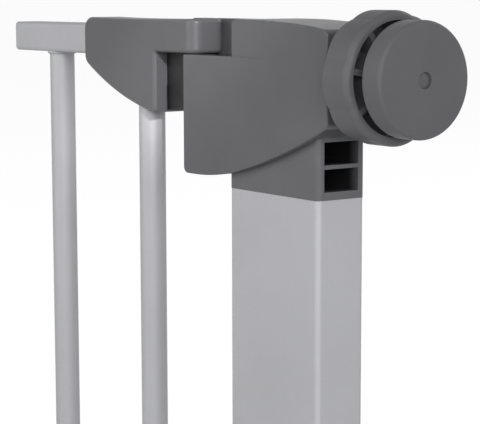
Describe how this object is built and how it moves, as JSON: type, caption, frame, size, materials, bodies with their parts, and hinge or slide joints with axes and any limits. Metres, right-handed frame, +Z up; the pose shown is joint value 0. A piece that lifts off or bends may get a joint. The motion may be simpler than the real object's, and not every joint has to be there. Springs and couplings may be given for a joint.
{
  "type": "stair gate latch",
  "caption": "Latch corner of a pressure-fit stair gate: housing on a post with a hand wheel and wall pad, and a gate leaf with a spring bolt and a lift-out tongue.",
  "frame": {"origin": "centre of the post tube's cut foot", "axes": "+Z up along the post, +X towards the wall, -Y the front that the picture shows"},
  "size_m": [0.2733, 0.0466, 0.1945],
  "materials": {
    "silver_paint": "satin",
    "grey_plastic": "matte",
    "dark_plastic": "matte",
    "zinc_steel": "satin",
    "soft_grey": "matte",
    "black_steel": "satin"
  },
  "bodies": {
    "frame": {"post_tube": "silver_paint", "post_cap": "grey_plastic", "cap_rivets": "zinc_steel", "keeper_front": "grey_plastic", "keeper_back": "grey_plastic", "keeper_screws": "zinc_steel", "keeper_insert": "dark_plastic", "stop_buffer": "soft_grey", "spindle_bush": "dark_plastic", "thrust_washer": "zinc_steel"},
    "gate_leaf": {"top_rail": "silver_paint", "left_bar": "silver_paint", "right_bar": "silver_paint", "grip_front": "grey_plastic", "grip_back": "grey_plastic", "grip_screws": "zinc_steel", "drop_tongue": "black_steel", "spring_guide": "dark_plastic", "return_spring": "zinc_steel"},
    "latch_slide": {"thumb_slide": "grey_plastic", "latch_bolt": "black_steel", "bolt_pin": "zinc_steel"},
    "tension_wheel": {"hand_wheel": "grey_plastic", "wheel_nut": "zinc_steel"},
    "wall_spindle": {"threaded_spindle": "zinc_steel", "pad_plate": "dark_plastic", "wall_pad": "soft_grey", "pad_screw": "zinc_steel"}
  },
  "joints": [
    {"name": "leaf_lift", "type": "slide", "parent": "frame", "child": "gate_leaf", "axis": [0, 0, 1], "range_m": [0, 0.012]},
    {"name": "bolt_draw", "type": "slide", "parent": "gate_leaf", "child": "latch_slide", "axis": [-1, 0, 0], "range_m": [0, 0.011], "stiffness_N_per_m": 300, "springref_m": -0.008, "deforming": ["return_spring"]},
    {"name": "wheel_turn", "type": "hinge", "parent": "frame", "child": "tension_wheel", "pos_m": [0.05, 0, 0.1712], "axis": [-1, 0, 0], "range_deg": [0, 2880]},
    {"name": "spindle_feed", "type": "slide", "parent": "frame", "child": "wall_spindle", "axis": [1, 0, 0], "range_m": [0, 0.024]}
  ],
  "couplings": [
    {"joint": "spindle_feed", "follows": "wheel_turn", "m_per_rad": 0.00047746}
  ]
}
